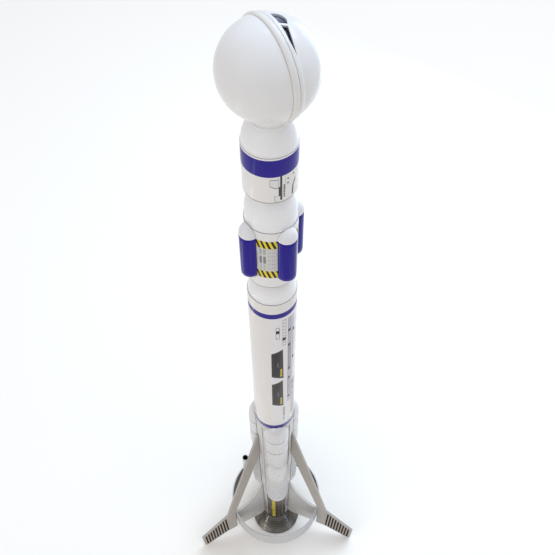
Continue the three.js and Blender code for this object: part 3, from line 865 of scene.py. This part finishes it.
def neck_cutter():
    foot, top = BALL_Z - BALL_R - 10, BALL_Z - BALL_R + 14
    wide = NECK_R + GAP
    return lathe("neck_cutter", [(0, foot), (wide, foot), (wide, top), (0, top)], 96)


def half_shell(side):
    start = SEAM_HALF + 0.12
    outer = ball_arc(BALL_R, start)
    inner = ball_arc(BALL_R - BALL_WALL, start)
    rim = [(BALL_R - 0.25, start), (BALL_R - 0.02, start + 0.3)]
    if side > 0:
        rim = [(BALL_R + 0.2, start), (BALL_R + 0.45, start + 0.2),
               (BALL_R + 0.4, 4.2), (BALL_R + 0.1, 4.5)]
    outer = rim + [p for p in outer if p[1] > rim[-1][1] + 0.3]
    profile = list(reversed(inner)) + outer
    profile = [(radius, along * side) for radius, along in profile]
    name = "ball_shell_right_skin" if side > 0 else "ball_shell_left_skin"
    return carve(lathe(name, profile, 192, matrix=seam_matrix()), neck_cutter())


def make_nose():
    left = half_shell(-1)
    settle(left, "nose", "ball_plastic", "ball", "ball_shell_left")
    right = half_shell(1)
    carve(right, ball_cutter("window_cutter", curve_through(WINDOW)), ball_cutter("slot_cutter", SLOT))
    settle(right, "nose", "ball_plastic", "ball", "ball_shell_right")

    bead = [(28.8, -SEAM_HALF), (32.2, -SEAM_HALF)]
    for k in range(13):
        turn = math.pi * (k / 12 - 0.5)
        bead.append((32.2 + 1.5 * math.cos(turn), SEAM_HALF * math.sin(turn)))
    bead += [(32.2, SEAM_HALF), (28.8, SEAM_HALF)]
    ring = lathe("seam_ring_skin", bead, 256, matrix=seam_matrix())
    settle(carve(ring, neck_cutter()), "nose", "seam_plastic", "seam", "seam_ring")

    inside = BALL_R - BALL_WALL - GAP
    shell = ball_arc(inside - 1.1, 2.9, 30)[::-1] + ball_arc(inside, 2.9, 30)
    backing = lathe("window_backing_skin", shell, 128, matrix=seam_matrix())
    carve(backing, ball_cutter("backing_cutter", BACKING, 10, 40), operation="INTERSECT")
    settle(backing, "nose", "window_dark", "window", "window_backing")

    top = dome_top(PAYLOAD_R, PAYLOAD_TOP + GAP)
    neck = rounded([
        (0, top - 6, 0), (7.7, top - 6), (7.7, top + GAP, 0.2), (NECK_R + 1.5, top + GAP, 0.4),
        (NECK_R + 1.5, top + 1.3, 0.5), (NECK_R, top + 2.0, 0.5), (NECK_R, NECK_TOP, 0.8),
        (0, NECK_TOP, 0),
    ], 0.3, closed=False)
    settle(lathe("nose_neck_skin", neck, 128), "nose", "dome_plastic", "dome", "nose_neck")

    shoulder = PAYLOAD_R - CARD - GAP
    base = PAYLOAD_TOP + GAP
    dome = dome_curve(PAYLOAD_R - 0.7, base + 0.9, DOME_RISE - 0.9 + 0.2)
    profile = [(8, top - 2), (8, top)] + [(r, z) for r, z in reversed(dome) if r > NECK_R + 0.3]
    profile += rounded([
        (PAYLOAD_R - 0.7, base + 0.7), (PAYLOAD_R - 0.2, base + 0.45, 0.2),
        (PAYLOAD_R - 0.2, base, 0.15),
        (shoulder, base, 0.1), (shoulder, base - 15.3, 0.4),
        (shoulder - SHOULDER_WALL, base - 15.3, 0.4), (shoulder - SHOULDER_WALL, base), (14, top - 8),
    ], 0.2, closed=False)
    settle(lathe("nose_dome_skin", profile, 192), "nose", "dome_plastic", "dome", "nose_dome")


# ------------------------------------------------------------------ short tubes and adapters
def tube(name, radius, wall, foot, top, fillet=0.22, arc=3, steps=192, matrix=None):
    """A plain round tube with its four rims rounded."""
    section = [(radius - wall, foot), (radius, foot), (radius, top), (radius - wall, top)]
    return lathe(name, rounded(section, fillet, arc), steps, matrix)


def printed_tube(node, body, look, radius, wall, foot, top):
    """A tube with its print outside, and bare card on its cut ends and its inside."""
    piece = tube(f"{node}_skin", radius, wall, foot, top)
    settle(piece, body, "printed_tube", [look, "edge"], node)
    paint_faces(piece, lambda at: radial(at) < radius - 0.12 * wall)


def make_upper_section():
    shoulder = PAYLOAD_R - CARD - GAP
    printed_tube("payload_tube", "upper_section", "payload", PAYLOAD_R, CARD, PAYLOAD_FOOT, PAYLOAD_TOP)

    lip_top = CORE_TOP + 8.8
    plug_foot, plug_top = PAYLOAD_FOOT + 1.2, PAYLOAD_FOOT + 11
    inside = CORE_R - CARD - GAP
    crown = dome_top(19.9, lip_top)
    upper = [
        (NECK_R - NECK_WALL, crown - 4), (NECK_R - NECK_WALL, plug_top), (shoulder, plug_top, 0.4),
        (shoulder, plug_foot, 0.4), (NECK_R, plug_foot, 0.2),
    ]
    upper += dome_from_neck(19.5, lip_top)
    upper += [
        (19.5, CORE_TOP + 1.6), (19.9, CORE_TOP + 1.1, 0.3), (19.9, CORE_TOP + GAP, 0.2),
        (inside, CORE_TOP + GAP, 0.1), (inside, CORE_TOP - 17, 0.4),
        (inside - SHOULDER_WALL, CORE_TOP - 17, 0.4), (inside - SHOULDER_WALL, lip_top),
    ]
    adapter = lathe("upper_adapter_skin", rounded(upper, 0.2), 192)
    settle(adapter, "upper_section", "dome_plastic", "dome", "upper_adapter")

    printed_tube("core_tube", "upper_section", "core", CORE_R, CARD, CORE_FOOT, CORE_TOP)

    for number, azimuth in STRAP_PODS.items():
        settle(strap_pod(number, azimuth), "upper_section", "strap_pod_plastic", "pod",
               f"strap_pod_{number}")

    lip = 20.6
    low_top = TUBE_TOP + GAP + 1.2
    tube_shoulder = TUBE_R - TUBE_WALL - GAP
    foot = TUBE_TOP - 34
    neck_top = CORE_FOOT + 14
    lower = [(NECK_R - NECK_WALL, low_top + 9), (NECK_R - NECK_WALL, neck_top), (NECK_R, neck_top, 0.4)]
    lower += dome_from_neck(lip - 0.8, low_top + 0.3, DOME_RISE - 0.3)
    lower += [
        (lip - 0.8, low_top - 0.1, 0.15), (lip - 0.25, low_top - 0.5, 0.2),
        (lip - 0.25, TUBE_TOP + GAP, 0.15),
        (tube_shoulder, TUBE_TOP + GAP, 0.1), (tube_shoulder, foot, 0.5), (1.3, foot), (1.3, foot + 2),
        (tube_shoulder - SHOULDER_WALL, foot + 2, 0.4), (tube_shoulder - SHOULDER_WALL, low_top),
    ]
    adapter = lathe("lower_adapter_skin", rounded(lower, 0.2), 192)
    settle(adapter, "upper_section", "dome_plastic", "dome", "lower_adapter")


def strap_pod(number, azimuth):
    """A capsule with a wrapped middle and a back that sits on the core tube."""
    radius = STRAP_POD_R
    profile = []
    for k in range(13):
        turn = math.pi / 2 * (1 - k / 12)
        profile.append((0.0 if k == 0 else radius * math.cos(turn), WRAP_FOOT - 5.5 * math.sin(turn)))
    profile += [(radius - 0.12, WRAP_FOOT + 0.15), (radius, WRAP_FOOT + 0.35)]
    for k in range(1, 12):
        profile.append((radius, WRAP_FOOT + (WRAP_TOP - WRAP_FOOT) * k / 12))
    profile += [(radius, WRAP_TOP - 0.35), (radius - 0.12, WRAP_TOP - 0.15)]
    for k in range(19):
        turn = math.pi / 2 * k / 18
        profile.append((0.0 if k == 18 else radius * math.cos(turn), WRAP_TOP + 9.5 * math.sin(turn)))
    seat = CORE_R + GAP
    return saddled(f"strap_pod_{number}_skin", profile, azimuth, STRAP_POD_AXIS, lambda height: seat, 96)


# ------------------------------------------------------------------ main tube and tail
def make_airframe_tubes():
    printed_tube("body_tube", "airframe", "body", TUBE_R, TUBE_WALL, TUBE_FOOT, TUBE_TOP)

    shoulder = TUBE_R - TUBE_WALL - GAP
    collar_top = TUBE_FOOT + 15
    rings = rounded([
        (TAIL_R - 0.7, TAIL_FOOT), (TAIL_R, TAIL_FOOT), (TUBE_R, TUBE_FOOT - GAP, 0.15),
        (shoulder, TUBE_FOOT - GAP, 0.1), (shoulder, collar_top, 0.3), (shoulder - 0.8, collar_top, 0.3),
        (shoulder - 0.8, TUBE_FOOT - 4), (tail_radius(TUBE_FOOT - 9) - 0.7, TUBE_FOOT - 9),
    ], 0.2)
    settle(lathe("tail_cone_skin", rings, 192), "airframe", "tail_shell", "tail", "tail_cone")


def bell_line(share):
    """A point of the bell's outside, from the throat (0) to the mouth (1)."""
    flare = 0.62 * share + 0.38 * math.sqrt(share)
    return Vector((TAIL_R + (BELL_R - TAIL_R) * flare, BELL_TOP - (BELL_TOP - BELL_FOOT) * share))


def make_bell():
    """The bell's outside is turned into fine ribs; its inside has softer ones."""
    ribs, per_rib = 9, 10
    outer, inner = [], []
    total = ribs * per_rib
    for i in range(total + 1):
        share = i / total
        here = bell_line(share)
        ahead = bell_line(min(1, share + 0.01)) - bell_line(max(0, share - 0.01))
        out = Vector((-ahead.y, ahead.x)).normalized()
        if out.x < 0:
            out = -out
        crest = abs(math.sin(math.pi * i / per_rib))
        depth = 0.9 * (1 - crest)
        outer.append(tuple(here - out * depth))
        if i % 2 == 0:
            inner.append(tuple(here - out * (1.35 + 0.12 * crest)))
    rim = [(BELL_R - 0.25, BELL_FOOT), (BELL_R - 1.0, BELL_FOOT)]
    profile = outer + rim + [p for p in reversed(inner) if p[1] > BELL_FOOT + 0.2]
    bell = lathe("nozzle_bell_skin", profile, 160, sharp=60)
    settle(bell, "airframe", "bell_gunmetal", "bell", "nozzle_bell")


# ------------------------------------------------------------------ base pods
POD_STEPS = 132


def tail_seat(height):
    return min(tail_radius(height), TUBE_R) + GAP


def groove(radius, height, depth=0.5, width=0.9):
    """Four corners of a square groove turned into a pod."""
    return [(radius, height, 0), (radius - depth, height + 0.12, 0),
            (radius - depth, height + width - 0.12, 0), (radius, height + width, 0)]


def upper_pod_profile():
    corners = [
        (0, 224.5, 0), (9.8, 224.5, 1), (11, 226, 1), (12.2, 231, 3), (13, 239, 6), (BASE_POD_R, 248, 4),
        *groove(BASE_POD_R, 269, 0.75, 2.8), *groove(13.4, 296.4, 0.7, 2.8), (13.4, 301, 3),
        (12.8, 308, 6), (11.2, 314, 5), (8.5, 318.5, 5), (5, 321, 5), (0, 322, 0),
    ]
    return rounded(corners, 0.5, 6, closed=False)


def lower_pod_profile():
    corners = [
        (0, 112, 0), (4, 112.2, 3), (7.5, 113.3, 4), (10.6, 116.5, 4), (12.6, 122, 5),
        (BASE_POD_R, 130, 3),
    ]
    for row in range(11):
        corners += groove(BASE_POD_R, 132 + row * 5.2)
    corners += [
        (BASE_POD_R, 190, 5), (13, 203, 8), (11.8, 212, 5), (9.5, 218.5, 4), (6, 221.5, 4), (0, 222, 0),
    ]
    return rounded(corners, 0.5, 6, closed=False)


def split_at(points, heights):
    """Adds points to a profile so that it has one at each of these heights."""
    result = [points[0]]
    for (r0, z0), (r1, z1) in zip(points, points[1:]):
        for height in sorted(h for h in heights if z0 + 0.05 < h < z1 - 0.05):
            share = (height - z0) / (z1 - z0)
            result.append((r0 + (r1 - r0) * share, height))
        result.append((r1, z1))
    return result


def from_outside(step):
    """Degrees between a step of a pod's turning and the way the pod faces."""
    turn = 360 * step / POD_STEPS
    return min(turn, 360 - turn)


UPPER_PANELS = ((236, 266), (275, 293.5), (302, 308))
PANEL_ENDS = [end for low, high in UPPER_PANELS for end in (low, high, low + 0.3, high - 0.3)]


def lower_wave(radius, height, step):
    ribbed = 131 < height < 185.5 and from_outside(step) < 86
    return min(radius, 12.8) if ribbed and step % 3 == 0 else radius


def upper_wave(radius, height, step):
    lined = step % 6 == 3 and from_outside(step) < 66
    inside = any(low + 0.2 < height < high - 0.2 for low, high in UPPER_PANELS)
    return radius - 0.25 if lined and inside else radius


def make_base_pods():
    for side, azimuth in BASE_PODS.items():
        upper = split_at(upper_pod_profile(), PANEL_ENDS)
        forms = (("upper", upper, upper_wave), ("lower", lower_pod_profile(), lower_wave))
        for level, profile, wave in forms:
            name = f"base_pod_{level}_{side}"
            place = (azimuth, BASE_POD_AXIS, tail_seat, POD_STEPS)
            pod = saddled(f"{name}_skin", profile, *place, wave, 20)
            settle(pod, "airframe", "base_pod_plastic", "base_pod", name)


# ------------------------------------------------------------------ legs, fins, ring and lug
def radial_matrix(azimuth):
    out = outward(azimuth)
    up = Vector((0, 0, 1))
    return basis(out, up, out.cross(up))


def leg_outline():
    inner = RING_R + GAP
    corners = [
        (tail_radius(281) + GAP, 281, 0.6), (tail_radius(226) + GAP, 226, 0.6), (57, 80, 4),
        (inner, 73, 2), (inner, 18, 1.0), (*FOOT_HEEL, 12), (*FOOT_TOE, 4), (107.8, 0, 1.6),
        (*FOOT_TIP, 1.6), (*FOOT_BACK, 5),
    ]
    return rounded(corners, 1.0, 5)


def fin_outline():
    outer = RING_R - RING_WALL - GAP
    root = tail_radius(134) + GAP
    corners = [(root, 134), (tail_radius(31) + GAP, 31), (21.6, 25.5), (outer, 20), (outer, 71)]
    return corners + curve_through([(outer, 71), (root, 134, 30, 85)], 24)[:-1]


SLAT_WIDTH = 2.1


def slat_rows():
    """Outlines of the nine slats on a foot, each leaning with the foot's end."""
    rows = []
    for k in range(9):
        out = 71.4 + k * 3.86
        share = (out - FOOT_HEEL[0]) / (FOOT_TOE[0] - FOOT_HEEL[0])
        foot = FOOT_HEEL[1] * (1 - share) + 2.6
        fall = (FOOT_TIP[1] - FOOT_BACK[1]) * (out - FOOT_BACK[0]) / (FOOT_TIP[0] - FOOT_BACK[0])
        top = FOOT_BACK[1] + fall - 1.6
        lean = 0.035 * (top - foot)
        top -= lean + 0.4
        far = out + SLAT_WIDTH
        rows.append([(out, foot + 0.55), (far, foot - 0.55), (far + lean, top - 2.1), (out + lean, top)])
    return rows


def make_legs():
    for side, azimuth in LEGS.items():
        matrix = radial_matrix(azimuth)
        leg = slab(f"leg_{side}_skin", leg_outline(), BOARD, matrix, 0.45, 3)
        settle(leg, "airframe", "painted_board", "leg", f"leg_{side}")
        fin = slab(f"fin_{side}_skin", fin_outline(), BOARD, matrix, 0.45, 3)
        settle(fin, "airframe", "painted_board", "fin", f"fin_{side}")
        for face in (1, -1):
            for number, outline in enumerate(slat_rows(), 1):
                lift = Matrix.Translation((0, 0, face * (BOARD / 2 + 0.11)))
                name = f"foot_slat_{side}_{'a' if face > 0 else 'b'}{number}"
                slat = slab(name, rounded(outline, 0.5, 3), 0.26, matrix @ lift, 0.08, 1)
                settle(slat, "airframe", "painted_board", "slat")


def make_ring():
    ring = tube("tail_ring_skin", RING_R, RING_WALL, RING_FOOT, RING_TOP, 0.45, 4, 256)
    settle(ring, "airframe", "painted_ring", ["ring", "inner_shade"], "tail_ring")
    # the inner faces get the dark painted-shade material
    paint_faces(ring, lambda at: radial(at) < RING_R - RING_WALL + 0.05)


def make_lug():
    low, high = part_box("launch_lug")
    centre = (low + high) / 2 / MM
    radius = (high.x - low.x) / 2 / MM
    place = Matrix.Translation((centre.x, centre.y, 0))
    lug = tube("launch_lug_skin", radius, LUG_WALL, low.z / MM, high.z / MM, 0.15, 3, 72, place)
    settle(lug, "airframe", "lug_paper", ["lug", "bore"], "launch_lug")
    paint_faces(lug, lambda at: radial(at - centre) < radius - 0.45)


# ------------------------------------------------------------------ inside pieces
def make_parachute():
    """A canopy folded to a strip and rolled up loosely; the roll's length gives its cloth area."""
    low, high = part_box("parachute_pack")
    foot, top = low.z / MM + 1.5, high.z / MM - 1.5
    canopy = 457.2
    area = canopy * canopy * math.sqrt(3) / 2
    length = area / (top - foot)
    first, last = 2.5, high.x / MM - 0.7
    turns = length / (math.pi * (first + last))
    per_turn, rows = 26, 8
    steps = int(turns * per_turn)
    points, faces = [], []
    for i in range(steps + 1):
        share = i / steps
        turn = 2 * math.pi * turns * share
        radius = math.sqrt(first ** 2 + (last ** 2 - first ** 2) * share)
        for k in range(rows + 1):
            up = k / rows
            ripple = 0.10 * math.sin(5 * turn / turns * 9 + 3 * up) * (1 if i < steps - 40 else 0.3)
            edge = 0.8 * math.sin(turn * 0.37 + k) * (1 if k in (0, rows) else 0)
            wide = radius * (1 - 0.05 * (2 * up - 1) ** 4) + ripple
            height = foot + (top - foot) * up + edge
            points.append((wide * math.sin(turn), -wide * math.cos(turn), height))
    for i in range(steps):
        for k in range(rows):
            a = i * (rows + 1) + k
            b = a + rows + 1
            faces.append((a, b, b + 1, a + 1))
    roll = object_of("parachute_roll", points, faces)
    settle(roll, "airframe", "canopy_nylon", "nylon", "parachute_pack")


def dress_inside():
    looks = {
        "payload_bulkhead": "ply", "core_ring": "ply", "forward_centring_ring": "ply",
        "aft_centring_ring": "ply", "tail_plug_ring": "ply", "screw_eye": "brass",
        "cord_mount": "paper", "hook_band": "paper", "motor_tube": "kraft",
        "thrust_ring": "kraft", "motor_hook": "steel",
    }
    for name, look in looks.items():
        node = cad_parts[name]
        node.data.materials.clear()
        node.data.materials.append(MATERIALS[look])


# ------------------------------------------------------------------ studio
def add_area(name, place, size, power, color, target=(0, 0, 0.35)):
    lamp = bpy.data.lights.new(name, "AREA")
    lamp.shape = "RECTANGLE"
    lamp.size, lamp.size_y = size
    lamp.energy = power
    lamp.color = color
    holder = bpy.data.objects.new(name, lamp)
    bpy.context.scene.collection.objects.link(holder)
    holder.location = place
    aim = Vector(target) - Vector(place)
    holder.rotation_euler = aim.to_track_quat("-Z", "Y").to_euler()
    holder.visible_camera = False
    return holder


def add_floor_strip(name, start, end, width, power, color):
    """A narrow light lying on the floor that the tubes mirror as one upright streak."""
    run = Vector((*end, 0)) - Vector((*start, 0))
    middle = (Vector(start) + Vector(end)) / 2
    place = (middle.x, middle.y, 0.004)
    lamp = add_area(name, place, (width, run.length), power, color)
    lamp.rotation_euler = (math.pi, 0, math.atan2(-run.x, run.y))


def make_world():
    """A soft dome of light: cool and bright overhead, warmer and dimmer near the floor."""
    world = bpy.data.worlds.new("studio")
    bpy.context.scene.world = world
    world.use_nodes = True
    tree = world.node_tree
    view = add_node(tree, "ShaderNodeTexCoord").outputs["Generated"]
    height = add_node(tree, "ShaderNodeSeparateXYZ", {0: view}).outputs[2]
    climb = add_node(tree, "ShaderNodeMapRange", {"Value": height, "From Min": 0.0, "From Max": 0.7})
    colors = {0: climb.outputs["Result"], 6: (0.50, 0.44, 0.38), 7: (0.82, 0.87, 0.97)}
    shades = add_node(tree, "ShaderNodeMix", colors, data_type="RGBA")
    background = tree.nodes["Background"]
    feed(tree, background.inputs[0], shades.outputs[2])
    background.inputs[1].default_value = 1.0


def make_studio():
    make_world()
    add_area("sky", (0.7, 0.9, 2.2), (1.4, 1.4), 23, (0.70, 0.84, 1.0))
    add_area("key", (-1.4, -1.2, 1.5), (1.6, 1.6), 5, (1.0, 0.94, 0.86))
    add_area("window", (0.62, 0.79, 0.5), (0.5, 1.0), 4.2, (0.50, 0.72, 1.0), (0, 0, 0.5))
    add_area("wall_line", (-1.17, -1.09, 1.22), (3.6, 0.04), 1.1, (1, 1, 1), (0, 0, 0.7))
    for side, color in ((-1, (1.0, 0.98, 0.95)), (1, (0.45, 0.62, 1.0))):
        glint = add_area("glint", (side * 0.36, -0.33, 0.17), (0.07, 0.05), 0.013, color, (0, 0, 0.02))
        glint.data.spread = math.radians(40)
    add_floor_strip("floor_line", (-0.45, 0.1), (-1.2, -1.1), 0.06, 0.5, (1.0, 0.96, 0.88))
    bpy.context.scene.view_settings.view_transform = "Standard"

    look = Look("floor_paper", (0.92, 0.87, 0.79), 0.85, specular=0.1)
    look.mottle(0.004, 0.3, (0.905, 0.855, 0.78))
    far = 40000
    corners = [(-far, -far, 0), (far, -far, 0), (far, far, 0), (-far, far, 0)]
    floor = object_of("floor", corners, [(0, 1, 2, 3)])
    floor.location.z = -0.0004
    floor.data.materials.append(look.done())


make_nose()
make_upper_section()
make_airframe_tubes()
make_bell()
make_base_pods()
make_legs()
make_ring()
make_lug()
make_parachute()
dress_inside()
make_studio()
